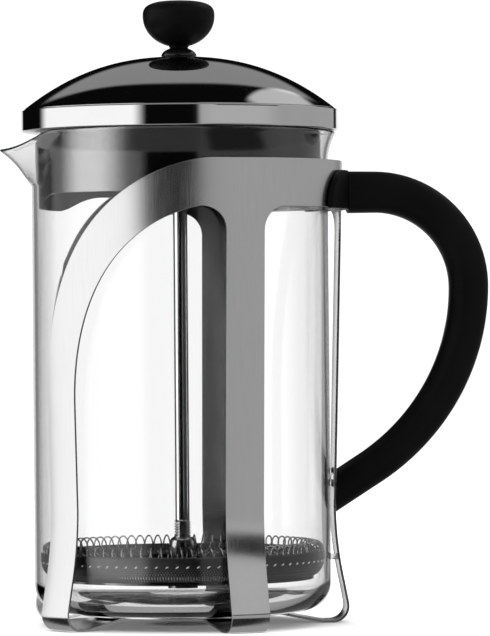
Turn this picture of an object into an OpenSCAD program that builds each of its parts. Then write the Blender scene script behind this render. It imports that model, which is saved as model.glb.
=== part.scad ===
// French press: a glass beaker in a sheet-steel carrier with a moulded handle,
// a steel lid and a plunger with a spring-edged mesh filter.
// The beaker axis is Z, the handle is on +X, the spout on -X, and the feet stand on z = 0.

/* [Beaker] */
// Outer radius of the glass
glass_r = 50; // [48:0.5:52]
// Thickness of the glass wall
glass_wall = 1.7; // [1.4:0.1:2]
// Height of the underside of the glass above the table
glass_floor_z = 4.6; // [4.6:0.1:5.4]
// Height of the rim above the table
rim_z = 166; // [164:0.5:168]
// Reach of the spout tip from the axis
spout_reach = 61; // [58:0.5:64]

/* [Carrier] */
// Thickness of the sheet steel
sheet_t = 0.8; // [0.6:0.1:1]
// Radius of the sheet's middle at the top of the collar
collar_r = 54.5; // [54:0.1:55.5]
// Top edge of the collar
collar_top = 155.6; // [154:0.2:157]
// Bottom edge of the collar between the legs
collar_bottom = 139.8; // [138:0.2:142]
// Width of each leg
leg_w = 13.6; // [12:0.2:15]
// Corner radius where a leg runs into the collar
leg_fillet = 8; // [6:0.5:9]
// Direction of the middle legs, from the side toward the handle
mid_leg_deg = 19.5; // [16:0.5:24]
// Direction of the spout-side legs, from the side toward the spout
spout_leg_deg = 53.5; // [50:0.5:56]

/* [Handle] */
// Height of the handle's upper arm
arm_z = 145.3; // [144.5:0.1:146]
// Reach of the handle's middle line from the axis
handle_reach = 98; // [94:0.5:102]
// Depth of the handle at the upper arm
grip_top = 14.2; // [13:0.2:15]
// Depth of the handle at its lower end
grip_end = 12; // [11:0.2:13]
// Width of the handle across the hand
grip_w = 15; // [13:0.5:18]

/* [Lid] */
// Outer radius of the lid
lid_r = 53.7; // [53.5:0.1:54.5]
// Bottom edge of the lid
lid_z = 166.2; // [166:0.1:168]
// Height of the upright band round the lid
lid_band = 7; // [5:0.2:8]
// Height of the dome above the band
dome_h = 18.2; // [15:0.2:20]
// Outer radius of the sleeve under the lid
sleeve_r = 47.6; // [46.5:0.1:47.8]
// Direction of the sleeve's deep tongue, round the axis from the handle
tongue_deg = 165; // [140:5:220]

/* [Plunger] */
// Diameter of the plunger rod
rod_d = 4.8; // [4.6:0.1:5]
// Largest radius of the knob
knob_r = 12.15; // [10:0.1:14]
// Outer radius of the filter
filter_r = 48; // [47.6:0.1:48]
// Underside of the filter's bottom plate
filter_z = 15.3; // [14:0.1:17]
// Mean radius of the spring's coils
coil_r = 2.7; // [2.4:0.1:2.8]

/* [Hidden] */
$fn = 96;

// small gap between parts that touch
gap = 0.1;
// length of a cut or a strip that runs past the carrier
past = 70;

// Carrier sheet: middle line of the section, from the collar down to the base
knee_r = 51.5;
knee_z = 40;
flare_deg = 12.5;
flare_r = 122;
curl_r = 5.6;
curl_z = curl_r;
curl_x = 50.6;
base_r_in = 20;
base_flat_r = 33;
base_z = 3;
lean_deg = atan((collar_r - knee_r) / (collar_top - knee_z));
base_plate_r = base_flat_r + 3;
base_hole_r = 12;
bumper_z = 22;
bumper_d = 2;
bumper_seat = 0.06;
corner_bite = 0.15;
arch_z = 75;
arch_outer_deg = 14;
arch_inner_deg = 11;
arch_steps = 24;
leg_start_r = 15;

// Beaker
glass_r_in = glass_r - glass_wall;
glass_bottom_t = 3;
glass_corner_r = 9;
flare_z = 155;
rim_r = 52.6;
spout_half_deg = 21;

// Handle
screw_d = 4;
screw_len = 10;
head_d = 7;
head_t = 1;
head_seat = 0.3;
insert_d = 5.6;
insert_len = 7;
foot_z = 46.3;
low_screw_z = 48.8;
clip_half_deg = 30;
clip_t = 1.9;
clip_corner = 11;
bend_r = 32;
sweep_b = arm_z - bend_r - foot_z + 7;

// Lid
shell_t = 0.7;
dome_power = 2.35;
dome_r = lid_r - 0.6;
dome_z = lid_z + lid_band;
apex_z = dome_z + dome_h;
sleeve_z = 145;
tongue_z = 140;
tongue_half_deg = 44;
tongue_ramp = 20;
flange_z = lid_z + 0.1;
flange_t = 0.6;
bush_r = 6;
bush_h = 3.3;
stem_r = 3.6;
retainer_r = 7;
retainer_t = 2;
retainer_z = apex_z - 3.2;

// Plunger
rod_r = rod_d / 2;
fit = 0.05;
knob_neck_z = apex_z + bush_h + 0.2;
knob_wide_z = knob_neck_z + 10.1;
knob_top_h = 5.3;
knob_low_h = 10.4;
knob_neck_r = 3.4;
knob_insert_r = 3.2;
rod_top = knob_wide_z + 1;
mesh_t = 0.25;
plate_t = 0.8;
plate_r = 44.2;
mesh_top = filter_z + 9.4;
spring_z = filter_z + 10;
spring_ring_r = filter_r - mesh_t - coil_r - gap;
mesh_z = filter_z + plate_t;
cage_z = mesh_z + mesh_t;
cage_t = 0.6;
cage_r = 42;
cage_rim = 5;
hub_r = 4.6;
hub_z = cage_z + cage_t;
hub_top = 30;
boss_r = 5;
boss_t = 3.4;
hole_rings = [[14, 9, 3.2], [23, 15, 3.2], [32, 21, 3.2]];

// ---- shared helpers ----

// points of an arc about [x, y] from angle a to angle b
function arc(x, y, r, a, b, n) = [
  for (i = [0:n]) let (turn = a + (b - a) * i / n) [x + r * cos(turn), y + r * sin(turn)]];

// radius of the carrier sheet's middle line at height z, above the knee
function sheet_r(z) = knee_r + (z - knee_z) * tan(lean_deg);

// a line of points given a thickness t, as one closed outline
function normal(p, i) =
  let (a = p[max(i - 1, 0)], b = p[min(i + 1, len(p) - 1)], d = b - a) [-d[1], d[0]] / norm(d);
function ribbon(p, t) = concat(
  [for (i = [0:len(p) - 1]) p[i] + normal(p, i) * t / 2],
  [for (i = [len(p) - 1:-1:0]) p[i] - normal(p, i) * t / 2]);

// turn a part that is drawn facing -Y so that it faces deg from -Y toward the handle
module facing(deg) {
  rotate([0, 0, deg]) children();
}

// the part and its mirror image on the far side
module both_sides() {
  children();
  mirror([0, 1, 0]) children();
}

// ---- carrier ----

// the sheet's middle line: collar, flare, curl under the foot, run in to the base
foot_flat_r = curl_x - 3;
flare_steps = 5;
function flare_pt(a) = [knee_r + flare_r * (1 - cos(a)), knee_z - flare_r * sin(a)];
sheet_line = concat(
  [[collar_r, collar_top], [knee_r, knee_z]],
  [for (i = [1:flare_steps]) flare_pt(flare_deg * i / flare_steps)],
  arc(curl_x, curl_z, curl_r - sheet_t / 2, flare_deg, -90, 12),
  [for (x = [curl_x - 0.5, foot_flat_r + 0.5, foot_flat_r]) [x, sheet_t / 2]],
  [for (x = [base_flat_r, base_r_in]) [x, base_z + sheet_t / 2]]);

module sheet_shell() {
  rotate_extrude() polygon(ribbon(sheet_line, sheet_t));
}

// upright strip through one leg, drawn facing -Y
module leg_strip() {
  translate([-leg_w / 2, -past, -1]) cube([leg_w, past - leg_start_r, collar_bottom + 3]);
}

// the leg and the two round corners where it runs into the collar; the corner circles
// cross the leg's and the collar's edges a little instead of only touching them
module leg_head() {
  side = leg_w / 2 + leg_fillet - corner_bite;
  low = collar_bottom - leg_fillet + corner_bite;
  rotate([90, 0, 0]) linear_extrude(past) difference() {
    translate([-side, low]) square([2 * side, leg_fillet + 4]);
    for (s = [-1, 1]) translate([s * side, low]) circle(leg_fillet);
  }
}

// edge of the arch: a quarter ellipse that rises from a leg's edge to the collar
function arch_edge(leg_deg, top_deg, top_z) = [
  for (i = [0:arch_steps])
    let (a = 90 * i / arch_steps,
         deg = top_deg + (leg_deg - top_deg) * cos(a),
         z = arch_z + (top_z - arch_z) * sin(a))
      [sheet_r(z) * sin(deg + spout_leg_deg), z]];

// a spout-side leg and the arch that carries it up into the collar, drawn facing -Y
module arch_leg() {
  half_deg = asin(leg_w / 2 / sheet_r(arch_z));
  outer = arch_edge(-spout_leg_deg - half_deg, arch_outer_deg, collar_top + 0.6);
  inner = arch_edge(-spout_leg_deg + half_deg, arch_inner_deg, collar_bottom + 0.2);
  rotate([90, 0, 0]) translate([0, 0, leg_start_r]) linear_extrude(past - leg_start_r) polygon(concat(
    [[-leg_w / 2, -1]], outer, [for (i = [len(inner) - 1:-1:0]) inner[i]], [[leg_w / 2, -1]]));
}

// the collar runs from one arch round the handle side to the other
module collar_zone() {
  difference() {
    translate([0, 0, collar_bottom]) cylinder(r = past, h = past);
    rotate([0, 0, 90]) linear_extrude(3 * past)
      polygon([[0, 0], for (a = [-102:17:102]) 2 * past * [sin(a), cos(a)]]);
  }
}

// everything that the legs, arches and collar take up, to be cut out of the sheet
module carrier_zone() {
  both_sides() {
    facing(-spout_leg_deg) arch_leg();
    facing(mid_leg_deg) {
      leg_strip();
      leg_head();
    }
  }
  facing(90) {
    leg_strip();
    leg_head();
  }
  collar_zone();
}

module carrier_frame() {
  color("silver") intersection() {
    sheet_shell();
    difference() {
      carrier_zone();
      handle_screw_lines() cylinder(d = screw_d + 0.3, h = 20, center = true);
    }
  }
}

module base_plate() {
  color("silver") translate([0, 0, base_z + sheet_t]) difference() {
    cylinder(r = base_plate_r, h = glass_floor_z - base_z - sheet_t - fit);
    translate([0, 0, -1]) cylinder(r = base_hole_r, h = 4);
  }
}

// soft studs inside the legs that keep the glass centred, cut to the slope of the leg
function flare_in_r(z) = flare_pt(asin((knee_z - z) / flare_r))[0] - sheet_t / 2 - bumper_seat;
module leg_bumper() {
  low = bumper_z - bumper_d;
  high = bumper_z + bumper_d;
  intersection() {
    translate([0, 0, bumper_z]) rotate([90, 0, 0]) cylinder(d = bumper_d, h = past);
    rotate_extrude() polygon([
      [glass_r + gap, low], [flare_in_r(low), low], [flare_in_r(high), high], [glass_r + gap, high]]);
  }
}

module leg_bumpers() {
  color("gainsboro") {
    both_sides() {
      facing(-spout_leg_deg) leg_bumper();
      facing(mid_leg_deg) leg_bumper();
    }
    facing(90) leg_bumper();
  }
}

// ---- handle ----

// the two screws' lines, pointing out along +X
module handle_screw_lines() {
  for (z = [arm_z, low_screw_z])
    translate([sheet_r(z) - sheet_t / 2, 0, z]) rotate([0, 90, 0]) children();
}

// middle line of the handle: straight arm, round bend, long sweep back to the leg
bend_x = handle_reach - bend_r;
sweep_a = 77;
sweep_end = 65;
function bend_pt(a) = [bend_x + bend_r * cos(a), arm_z - bend_r + bend_r * sin(a)];
function sweep_pt(a) = [handle_reach - sweep_a * (1 - cos(a)), arm_z - bend_r - sweep_b * sin(a)];
arm_start = collar_r + sheet_t / 2 + gap;
handle_line = concat(
  [[arm_start - 1, arm_z], [arm_start + 5, arm_z]],
  [for (i = [0:9]) bend_pt(90 - 10 * i)],
  [for (i = [1:12]) sweep_pt(sweep_end * i / 12)],
  [[knee_r - 3, foot_z - 3.2]]);
function grip_depth(i) = grip_top + (grip_end - grip_top) * i / (len(handle_line) - 1);

// rounded section: a superellipse of depth d and width w
function section_pt(d, w, a) = [
  d / 2 * sign(cos(a)) * pow(abs(cos(a)), 0.75), w / 2 * sign(sin(a)) * pow(abs(sin(a)), 0.75)];
grip_sides = 24;
grip_points = [
  for (i = [0:len(handle_line) - 1])
    let (n = normal(handle_line, i), c = handle_line[i])
      for (k = [0:grip_sides - 1])
        let (s = section_pt(grip_depth(i), grip_w, 360 * k / grip_sides))
          [c[0] + n[0] * s[0], s[1], c[1] + n[1] * s[0]]];
grip_rings = len(handle_line);
grip_faces = concat(
  [[for (k = [0:grip_sides - 1]) k]],
  [[for (k = [grip_sides - 1:-1:0]) (grip_rings - 1) * grip_sides + k]],
  [for (i = [0:grip_rings - 2], k = [0:grip_sides - 1])
    let (j = (k + 1) % grip_sides)
      [i * grip_sides + j, i * grip_sides + k, (i + 1) * grip_sides + k, (i + 1) * grip_sides + j]]);

// outside of the carrier's upright stretch, with a gap
function sheet_out_r(z) = sheet_r(z) + sheet_t / 2 + gap;
seat_split_z = 120;
module handle_grip() {
  color("#151515") difference() {
    polyhedron(grip_points, grip_faces);
    // seats on the clip above and on the leg below
    rotate_extrude()
      polygon([[0, 0], [sheet_out_r(0), 0], [sheet_out_r(seat_split_z), seat_split_z], [0, seat_split_z]]);
    translate([0, 0, seat_split_z]) cylinder(r = clip_r + gap, h = 60);
    handle_screw_lines() cylinder(d = insert_d + 0.02, h = screw_len + 4);
  }
}

clip_r = collar_r + sheet_t / 2 + gap + clip_t;
module handle_clip() {
  clip_low = collar_bottom - 0.4;
  clip_high = arm_z + grip_top / 2;
  color("#1c1c1c") difference() {
    intersection() {
      translate([0, 0, clip_low]) cylinder(r = clip_r, h = clip_high - clip_low);
      facing(90) rotate([90, 0, 0]) linear_extrude(past) {
        half_w = clip_r * sin(clip_half_deg);
        corner_x = half_w - clip_corner;
        corner_z = clip_high - clip_corner;
        polygon([
          [-half_w - 0.6, clip_low], each arc(-corner_x, corner_z, clip_corner, 180, 90, 10),
          each arc(corner_x, corner_z, clip_corner, 90, 0, 10), [half_w + 0.6, clip_low]]);
      }
    }
    translate([0, 0, clip_low - 1]) cylinder(r = collar_r + sheet_t / 2 + gap, h = 30);
    handle_screw_lines() cylinder(d = insert_d + 0.2, h = 20);
  }
}

// the flat heads bear on the curved sheet, so they stand off it by the curve's depth
module handle_screws() {
  color("gainsboro") handle_screw_lines() {
    translate([0, 0, -head_t - head_seat]) cylinder(d = head_d, h = head_t);
    translate([0, 0, -head_seat - 0.1]) cylinder(d = screw_d, h = screw_len);
  }
}

module handle_inserts() {
  color("goldenrod") handle_screw_lines() difference() {
    translate([0, 0, screw_len - insert_len + 1]) cylinder(d = insert_d, h = insert_len);
    cylinder(d = screw_d + fit, h = 30);
  }
}

// ---- beaker ----

// the wall's flare under the rim, from radius r
function rim_flare(r) = [
  for (i = [0:6]) [r + (rim_r - glass_r) * pow(i / 6, 2), flare_z + (rim_z - 1 - flare_z) * i / 6]];

module glass_outer() {
  rotate_extrude() polygon(concat(
    [[0, glass_floor_z]],
    arc(glass_r - glass_corner_r, glass_floor_z + glass_corner_r, glass_corner_r, -90, 0, 8),
    rim_flare(glass_r),
    [[rim_r - 0.3, rim_z - 0.3], [rim_r - 0.9, rim_z], [0, rim_z]]));
}

module glass_inner() {
  corner = glass_corner_r - glass_wall;
  rotate_extrude() polygon(concat(
    [[0, glass_floor_z + glass_bottom_t]],
    arc(glass_r_in - corner, glass_floor_z + glass_bottom_t + corner, corner, -90, 0, 8),
    rim_flare(glass_r_in),
    [[rim_r - glass_wall + 0.2, rim_z], [rim_r - glass_wall + 0.2, rim_z + 2], [0, rim_z + 2]]));
}

// lip of the spout: from a wide arc on the wall to a narrow tip; inset makes the hollow
module spout_body(inset) {
  tip_r = 3;
  rim_back = rim_r - 1;
  hull() {
    translate([-spout_reach + tip_r, 0, rim_z - 7.2 + inset])
      cylinder(r = tip_r - inset, h = 1.6, $fn = 32);
    for (a = [-1, -0.5, 0, 0.5, 1])
      rotate([0, 0, a * (spout_half_deg - inset)])
        translate([-rim_back + inset, 0, rim_z - 6 + inset]) cylinder(r = 0.4, h = 6 + inset, $fn = 16);
    translate([-glass_r + 1.5 + inset, 0, rim_z - 16 + inset]) cylinder(r = 0.8, h = 1, $fn = 16);
  }
}

module beaker() {
  color([0.85, 0.92, 0.95, 0.4]) difference() {
    union() {
      glass_outer();
      spout_body(0);
    }
    glass_inner();
    spout_body(glass_wall);
    // the rim slopes down to the tip of the spout
    translate([-glass_r - 12, 0, rim_z - 4.2]) rotate([0, -32, 0])
      translate([-20, -30, 0]) cube([28, 60, 20]);
  }
}

// ---- lid ----

// height of the dome's outer surface at radius r
function dome(r) = dome_z + dome_h * (1 - pow(r / dome_r, dome_power));

module lid_dome() {
  n = 18;
  outer = [for (i = [0:n]) let (r = dome_r * sin(90 * i / n)) [r, dome(r)]];
  inner = [for (i = [0:n]) let (r = (dome_r - shell_t) * sin(90 * i / n)) [r, dome(r) - shell_t]];
  color("silver") rotate_extrude() difference() {
    polygon(concat(outer, [[lid_r, dome_z - 0.6], [lid_r, lid_z + 0.3], [lid_r - 0.3, lid_z], [0, lid_z]]));
    polygon(concat(inner, [[lid_r - shell_t, dome_z - 0.9], [lid_r - shell_t, lid_z - 1], [0, lid_z - 1]]));
    translate([0, apex_z - 5]) square([stem_r + fit, 10]);
  }
}

// sleeve that guides the lid in the beaker, with one deep tongue that closes the spout
module lid_sleeve() {
  color("silver") {
    difference() {
      translate([0, 0, tongue_z]) cylinder(r = sleeve_r, h = flange_z + flange_t - tongue_z);
      translate([0, 0, tongue_z - 1]) cylinder(r = sleeve_r - shell_t, h = 60);
      difference() {
        translate([0, 0, tongue_z - 1]) cylinder(r = 60, h = sleeve_z - tongue_z + 1);
        rotate([0, 0, tongue_deg]) rotate([90, 0, 90]) linear_extrude(70) tongue_outline();
      }
    }
    translate([0, 0, flange_z]) difference() {
      cylinder(r = lid_r - shell_t - fit, h = flange_t);
      translate([0, 0, -1]) cylinder(r = sleeve_r - 0.1, h = 3);
    }
  }
}

module tongue_outline() {
  half_w = sleeve_r * sin(tongue_half_deg);
  steps = 8;
  side = [
    for (i = [0:steps])
      [half_w - tongue_ramp * i / steps, tongue_z + (sleeve_z - tongue_z) * (1 + cos(180 * i / steps)) / 2]];
  polygon(concat(
    [for (p = side) [-p[0], p[1]]], [for (i = [steps:-1:0]) side[i]], [[half_w, 160], [-half_w, 160]]));
}

module lid_bush() {
  color("#101010") rotate_extrude() difference() {
    union() {
      translate([0, apex_z + gap]) intersection() {
        scale([1, bush_h / bush_r]) circle(bush_r);
        square([bush_r, bush_h - 0.05]);
      }
      translate([0, retainer_z - 1]) square([stem_r, apex_z + 1 - retainer_z + 1]);
    }
    translate([-1, 0]) square([1 + rod_r + gap, 300]);
  }
}

module bush_retainer() {
  color("#202020") translate([0, 0, retainer_z]) difference() {
    cylinder(r = retainer_r, h = retainer_t);
    translate([0, 0, -1]) cylinder(r = stem_r + 0.02, h = 9);
  }
}

// ---- plunger ----

module knob() {
  top = [for (i = [0:10]) let (a = 90 - 9 * i) [
    knob_r * pow(cos(a), 2 / 3), knob_wide_z + knob_top_h * pow(sin(a), 2 / 3)]];
  low_a = acos(knob_neck_r / knob_r);
  low = [for (i = [1:12]) let (a = -low_a * i / 12) [knob_r * cos(a), knob_wide_z + knob_low_h * sin(a)]];
  color("#121212") rotate_extrude() difference() {
    polygon(concat([[0, knob_wide_z + knob_top_h]], top, low, [[0, low[11][1]]]));
    translate([-1, 0]) square([1 + rod_r + gap, rod_top + 0.3]);
    translate([-1, knob_neck_z + 2]) square([1 + knob_insert_r + 0.02, rod_top + 0.3 - knob_neck_z - 2]);
  }
}

module knob_insert() {
  color("goldenrod") translate([0, 0, knob_neck_z + 2.2]) difference() {
    cylinder(r = knob_insert_r, h = rod_top - knob_neck_z - 2.2);
    translate([0, 0, -1]) cylinder(r = rod_r + 0.02, h = 30);
  }
}

module plunger_rod() {
  rod_bottom = filter_z - boss_t + 0.4;
  color("silver") translate([0, 0, rod_bottom]) cylinder(r = rod_r, h = rod_top - rod_bottom);
}

module clamp_hub() {
  color("gray") rotate_extrude() difference() {
    union() {
      translate([0, hub_z]) square([hub_r, hub_top - hub_r - hub_z]);
      translate([0, hub_top - hub_r]) intersection() {
        circle(hub_r);
        square(hub_r);
      }
    }
    translate([-1, 0]) square([1 + rod_r + 0.02, 60]);
  }
}

// holes spread evenly on rings: [ring radius, count, hole radius]
module ring_holes() {
  for (ring = hole_rings, i = [0:ring[1] - 1])
    rotate([0, 0, 360 * i / ring[1]]) translate([ring[0], 0, -1]) cylinder(r = ring[2], h = 4, $fn = 32);
}

module spring_plate() {
  color("silver") translate([0, 0, cage_z]) difference() {
    rotate_extrude() {
      translate([rod_r + fit, 0]) square([cage_r - rod_r - fit, cage_t]);
      translate([cage_r - cage_t, 0]) square([cage_t, cage_rim]);
    }
    ring_holes();
  }
}

module edge_spring() {
  color("silver") translate([0, 0, spring_z]) rotate_extrude()
    translate([spring_ring_r, 0]) difference() {
      circle(coil_r);
      circle(coil_r - 0.5);
    }
}

module mesh_screen() {
  rise = 6.5;
  turn_r = plate_r - 1;
  side = [for (i = [0:8]) let (a = 90 * i / 8) [
    turn_r + (filter_r - mesh_t / 2 - turn_r) * sin(a), mesh_z + mesh_t / 2 + rise * (1 - cos(a))]];
  line = concat([[rod_r + fit, mesh_z + mesh_t / 2]], side, [[filter_r - mesh_t / 2, mesh_top]]);
  color("darkgray") rotate_extrude() polygon(ribbon(line, mesh_t));
}

module cross_plate() {
  color("silver") translate([0, 0, filter_z]) difference() {
    cylinder(r = plate_r, h = plate_t);
    translate([0, 0, -1]) cylinder(r = rod_r + fit, h = 3);
    rotate([0, 0, 6]) ring_holes();
  }
}

module plate_boss() {
  color("silver") translate([0, 0, filter_z - boss_t]) difference() {
    cylinder(r = boss_r, h = boss_t);
    translate([0, 0, -1]) cylinder(r = rod_r + 0.02, h = 9);
  }
}

carrier_frame();
base_plate();
leg_bumpers();
handle_grip();
handle_clip();
handle_screws();
handle_inserts();
beaker();
lid_dome();
lid_sleeve();
lid_bush();
bush_retainer();
knob();
knob_insert();
plunger_rod();
clamp_hub();
spring_plate();
edge_spring();
mesh_screen();
cross_plate();
plate_boss();
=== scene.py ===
import math

import bmesh
import bpy
from mathutils import Matrix, Vector


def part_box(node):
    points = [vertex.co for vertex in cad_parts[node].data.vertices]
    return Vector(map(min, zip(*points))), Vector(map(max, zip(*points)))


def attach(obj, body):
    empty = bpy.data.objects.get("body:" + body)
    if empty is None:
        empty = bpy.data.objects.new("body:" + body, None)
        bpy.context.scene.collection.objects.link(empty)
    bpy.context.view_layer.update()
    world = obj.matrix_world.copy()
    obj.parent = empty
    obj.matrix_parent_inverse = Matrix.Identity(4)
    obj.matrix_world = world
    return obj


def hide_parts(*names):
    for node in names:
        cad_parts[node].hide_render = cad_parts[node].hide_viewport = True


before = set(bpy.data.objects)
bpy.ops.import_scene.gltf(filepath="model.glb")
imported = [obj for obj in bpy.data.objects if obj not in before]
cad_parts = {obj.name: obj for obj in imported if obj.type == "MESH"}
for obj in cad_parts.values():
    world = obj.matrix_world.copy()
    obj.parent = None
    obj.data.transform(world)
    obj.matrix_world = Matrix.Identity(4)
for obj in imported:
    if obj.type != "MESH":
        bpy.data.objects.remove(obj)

MM = 0.001
TAU = 2 * math.pi
AXIS = 1e-6    # a radius below this is on the axis
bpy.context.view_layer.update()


def box_mm(node):
    """The low and high corners of a CAD node's box."""
    lo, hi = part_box(node)
    return [v / MM for v in lo], [v / MM for v in hi]


# ---------------------------------------------------------------- driving sizes, from the CAD

GLASS_LO, GLASS_HI = box_mm("beaker")
LID_LO, LID_HI = box_mm("lid_dome")
SLEEVE_LO, SLEEVE_HI = box_mm("lid_sleeve")
BUSH_LO, BUSH_HI = box_mm("lid_bush")
KNOB_HI = box_mm("knob")[1]
ROD_LO, ROD_HI = box_mm("plunger_rod")
HUB_LO, HUB_HI = box_mm("clamp_hub")
SPRING_LO, SPRING_HI = box_mm("edge_spring")
PLATE_LO, PLATE_HI = box_mm("spring_plate")
MESH_LO, MESH_HI = box_mm("mesh_screen")
COLLAR_TOP = box_mm("carrier_frame")[1][2]
CLIP_LO, CLIP_HI = box_mm("handle_clip")

# sizes that no box gives, the same as in the part's source
SHEET_T = 0.8
COLLAR_R = 54.5
COLLAR_BOTTOM = 139.8
KNEE_R, KNEE_Z = 51.5, 40.0
LEG_W = 13.6
LEG_FILLET = 8.0
BASE_Z = 3.0
# directions of the legs, in degrees from -Y toward the handle
MID_LEG = 19.5
SPOUT_LEG = -53.5
HANDLE_LEG = 90.0


# ---------------------------------------------------------------- shaders

class Look:
    """A material with its Principled shader, and short ways to add the nodes that feed it."""

    def __init__(self, name, **values):
        self.material = bpy.data.materials.new(name)
        self.material.use_nodes = True
        self.tree = self.material.node_tree
        self.shader = self.tree.nodes["Principled BSDF"]
        for key, value in values.items():
            self.shader.inputs[key.replace("_", " ")].default_value = value

    def add(self, kind, *sources, settings=(), **values):
        """A node whose first sockets are linked to sources; values go on its other sockets."""
        node = self.tree.nodes.new("ShaderNode" + kind)
        for key, value in dict(settings).items():
            setattr(node, key, value)
        for socket, source in enumerate(sources):
            self.tree.links.new(source, node.inputs[socket])
        for key, value in values.items():
            node.inputs[key].default_value = value
        return node

    def feed(self, **sources):
        """Links sockets of the shader, such as Base_Color."""
        for key, source in sources.items():
            self.tree.links.new(source, self.shader.inputs[key.replace("_", " ")])

    def place(self):
        """Coordinates in the object's own frame, in metres."""
        return self.add("TexCoord").outputs["Object"]

    def noise(self, place, scale, detail, distortion=0.0):
        """A cloudy value from 0 to 1."""
        texture = self.add("TexNoise", place, Scale=scale, Detail=detail, Distortion=distortion)
        return texture.outputs["Fac"]

    def graded(self, value, low, high, start=0.0, end=1.0):
        """From low to high, as value goes from start to end."""
        node = self.add("MapRange", value)
        for socket, number in enumerate((start, end, low, high), 1):
            node.inputs[socket].default_value = number
        return node.outputs[0]

    def toned(self, value, *stops):
        """A colour that follows value through stops: (place, grey or colour)."""
        node = self.add("ValToRGB", value)
        for element, (place, tone) in zip(node.color_ramp.elements, stops):
            element.position = place
            element.color = (tone, tone, tone, 1) if isinstance(tone, float) else (*tone, 1)
        return node.outputs[0]

    def combine(self, operation, *sources):
        """One step of arithmetic on sockets."""
        return self.add("Math", *sources, settings={"operation": operation}).outputs[0]

    def scaled(self, value, factor):
        """A value times a plain number."""
        node = self.add("Math", value, settings={"operation": "MULTIPLY"})
        node.inputs[1].default_value = factor
        return node.outputs[0]

    def relief(self, height, strength, depth):
        """Bumps that follow a height; the depth of one unit of it is in metres."""
        node = self.add("Bump", Strength=strength, Distance=depth)
        self.tree.links.new(height, node.inputs["Height"])
        self.feed(Normal=node.outputs[0])


def streaked_steel(name, grey, rough, streak, stretch, bump, metallic=1.0, spread=0.0, colours=None):
    """Steel with fine brush streaks that run along the axis of the smallest stretch value.

    With spread, upright streaks also spread what the steel mirrors to the sides. Another metal
    gives its dark and light colours.
    """
    look = Look(name, Metallic=metallic, Anisotropic=spread)
    if spread:
        sideways = look.add("Tangent", settings={"direction_type": "RADIAL", "axis": "Z"})
        look.feed(Tangent=sideways.outputs[0])
    place = look.place()
    lines = look.noise(look.add("Mapping", place, Scale=stretch).outputs[0], 1.0, 6.0)
    dark, light = colours or (grey - streak, grey + streak)
    smudge = look.graded(look.noise(place, 60.0, 3.0), -0.01, 0.02, 0.35, 0.75)
    total = look.combine("ADD", look.graded(lines, rough * 0.75, rough * 1.3), smudge)
    look.feed(Base_Color=look.toned(lines, (0.3, dark), (0.7, light)), Roughness=total)
    look.relief(lines, bump, 0.00004)
    return look.material


def mirror_steel(name, grey=0.80):
    """Polished steel with faint wiping marks."""
    look = Look(name, Metallic=1.0)
    marks = look.noise(look.place(), 90.0, 5.0, distortion=0.6)
    tone = look.toned(marks, (0.3, grey - 0.015), (0.7, grey + 0.01))
    look.feed(Base_Color=tone, Roughness=look.graded(marks, 0.03, 0.075, 0.4, 0.8))
    return look.material


def moulded_black(name, grey, rough, grain, grain_scale, shine=0.5, coat=0.0):
    """Black moulded plastic with a fine grain."""
    look = Look(name, Specular_IOR_Level=shine, Coat_Weight=coat, Coat_Roughness=0.08)
    place = look.place()
    broad = look.noise(place, 45.0, 2.0)
    tone = look.toned(broad, (0.3, grey * 0.8), (0.7, grey * 1.25))
    look.feed(Base_Color=tone, Roughness=look.graded(broad, rough - 0.05, rough + 0.05))
    look.relief(look.noise(place, grain_scale, 4.0), grain, 0.00006)
    return look.material


def clear_glass(name):
    """Clear glass that darkens where it is seen edge-on, with faint waviness."""
    look = Look(name, Roughness=0.0, IOR=1.47, Transmission_Weight=1.0, Specular_IOR_Level=0.15,
                Base_Color=(0.99, 0.99, 0.99, 1))
    look.relief(look.noise(look.place(), 14.0, 1.0), 0.05, 0.0006)
    depth = look.add("VolumeAbsorption", Color=(0.82, 0.82, 0.82, 1), Density=45.0)
    look.tree.links.new(depth.outputs[0], look.tree.nodes["Material Output"].inputs["Volume"])
    return look.material


def clear_rubber(name):
    """Translucent silicone rubber, faintly cloudy."""
    look = Look(name, IOR=1.41, Transmission_Weight=0.9)
    cloud = look.noise(look.place(), 700.0, 3.0)
    tone = look.toned(cloud, (0.3, 0.80), (0.7, 0.92))
    look.feed(Base_Color=tone, Roughness=look.graded(cloud, 0.15, 0.35))
    return look.material


WEAVE_PITCH = 0.95


def woven_mesh(name):
    """Fine steel mesh: two sets of slanting wires with light between them, and a painted highlight where
    they cross.
    """
    look = Look(name, Metallic=1.0, Roughness=0.38)
    x, y, z = look.add("SeparateXYZ", look.place()).outputs
    wires = round(TAU * MESH_HI[0] / WEAVE_PITCH)
    around = look.scaled(look.combine("ARCTAN2", y, x), wires)
    squares = look.combine("ADD", look.combine("MULTIPLY", x, x), look.combine("MULTIPLY", y, y))
    along = look.combine("SUBTRACT", look.combine("SQRT", squares), z)
    down = look.scaled(along, TAU / (WEAVE_PITCH * MM))
    slants = [look.combine(operation, around, down) for operation in ("ADD", "SUBTRACT")]
    waves = [look.combine("SINE", slant) for slant in slants]
    height = look.combine("MAXIMUM", *waves)
    painted_crossing_light = look.combine("MULTIPLY", *waves)
    open_part = look.graded(height, 0.0, 1.0, -0.55, -0.25)
    # the base colour is a painted highlight where the wires cross and painted shade along them between the
    # crossings
    look.feed(Alpha=open_part, Base_Color=look.toned(painted_crossing_light, (0.25, 0.16), (0.8, 0.70)))
    look.relief(height, 0.6, 0.0001)
    return look.material


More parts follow.
